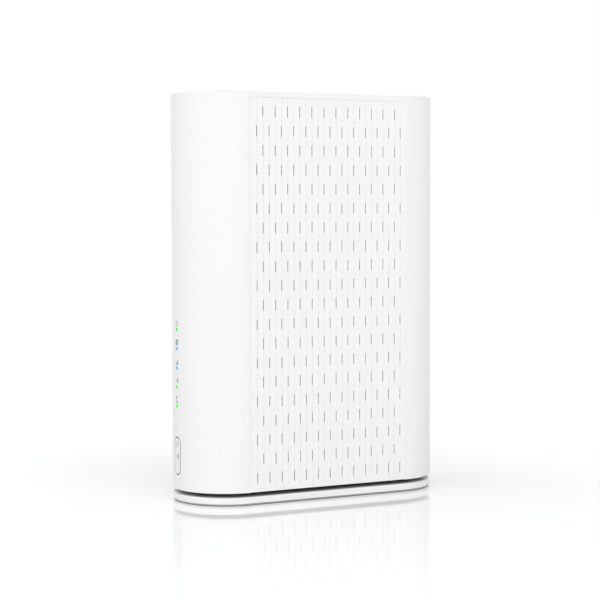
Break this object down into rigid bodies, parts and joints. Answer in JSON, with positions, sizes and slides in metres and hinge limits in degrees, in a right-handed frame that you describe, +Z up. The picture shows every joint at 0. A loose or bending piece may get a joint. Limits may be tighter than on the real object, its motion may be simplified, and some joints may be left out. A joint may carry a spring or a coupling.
{
  "type": "cable modem gateway",
  "caption": "Upright white cable modem gateway: stadium-shaped case with louvred, slotted sides, indicator lights and a pill button on the narrow front, ports in a rear bay, low stand.",
  "frame": {"origin": "centre of the case's outline on the surface that the feet stand on", "axes": "+Z up; -Y towards the narrow front with the lights and the button; +Y towards the rear bay; +X and -X towards the two flat louvred sides"},
  "size_m": [0.056, 0.147, 0.2088],
  "materials": {
    "case_white": "fine spark-eroded satin",
    "base_white": "satin",
    "button_white": "satin",
    "black_plastic": "satin",
    "foot_rubber": "matte",
    "screw_steel": "zinc plated",
    "chassis_plastic": "moulded",
    "circuit_board": "solder mask",
    "chip_black": "moulded epoxy",
    "thermal_pad": "soft",
    "heatsink_aluminium": "extruded",
    "shield_metal": "tin plated",
    "capacitor_sleeve": "shrink sleeve",
    "port_plastic": "moulded",
    "gold_contact": "gold plated",
    "nickel": "nickel plated",
    "white_insulator": "moulded",
    "button_grey": "satin",
    "reset_red": "moulded",
    "led_green": "lit",
    "led_blue": "lit",
    "clear_acrylic": "clear",
    "flex_cable": "flat cable",
    "cable_black": "jacket"
  },
  "bodies": {
    "case": {"front_cover": "case_white", "side_grille_right": "case_white", "side_grille_left": "case_white", "rear_cover": "case_white", "top_cap": "case_white", "bottom_cover": "black_plastic", "bottom_screws": "screw_steel", "base_plate": "base_white", "base_feet": "foot_rubber", "base_screws": "screw_steel", "chassis": "chassis_plastic", "main_board": "circuit_board", "board_screws": "screw_steel", "soc_chip": "chip_black", "thermal_pad": "thermal_pad", "heatsink": "heatsink_aluminium", "heatsink_pins": "screw_steel", "memory_chips": "chip_black", "tuner_shield": "shield_metal", "wifi_shield": "shield_metal", "ethernet_magnetics": "chip_black", "capacitors": "capacitor_sleeve", "inductors": "chip_black", "ethernet_block": "port_plastic", "ethernet_contacts": "gold_contact", "phone_block": "port_plastic", "phone_contacts": "gold_contact", "usb_shell": "shield_metal", "usb_tongue": "black_plastic", "coax_connector": "nickel", "coax_dielectric": "white_insulator", "coax_nut": "nickel", "dc_jack": "black_plastic", "dc_pin": "nickel", "power_switch": "black_plastic", "reset_switch": "black_plastic", "led_board": "circuit_board", "green_leds": "led_green", "blue_leds": "led_blue", "light_guide": "clear_acrylic", "led_flex_cable": "flex_cable", "flex_sockets": "black_plastic", "wps_switch": "shield_metal", "antenna_front": "circuit_board", "antenna_top": "circuit_board", "antenna_cables": "cable_black"},
    "front_button": {"wps_button": "button_white", "wps_actuator": "black_plastic"},
    "power_button": {"power_button": "button_grey"},
    "reset_button": {"reset_button": "reset_red"}
  },
  "joints": [
    {"name": "front_button_press", "type": "slide", "parent": "case", "child": "front_button", "axis": [0, 1, 0], "range_m": [0, 0.0005], "stiffness_N_per_m": 2000},
    {"name": "power_button_press", "type": "slide", "parent": "case", "child": "power_button", "axis": [0, -1, 0], "range_m": [0, 0.0015], "stiffness_N_per_m": 1200},
    {"name": "reset_button_press", "type": "slide", "parent": "case", "child": "reset_button", "axis": [0, -1, 0], "range_m": [0, 0.0003], "stiffness_N_per_m": 2000}
  ]
}
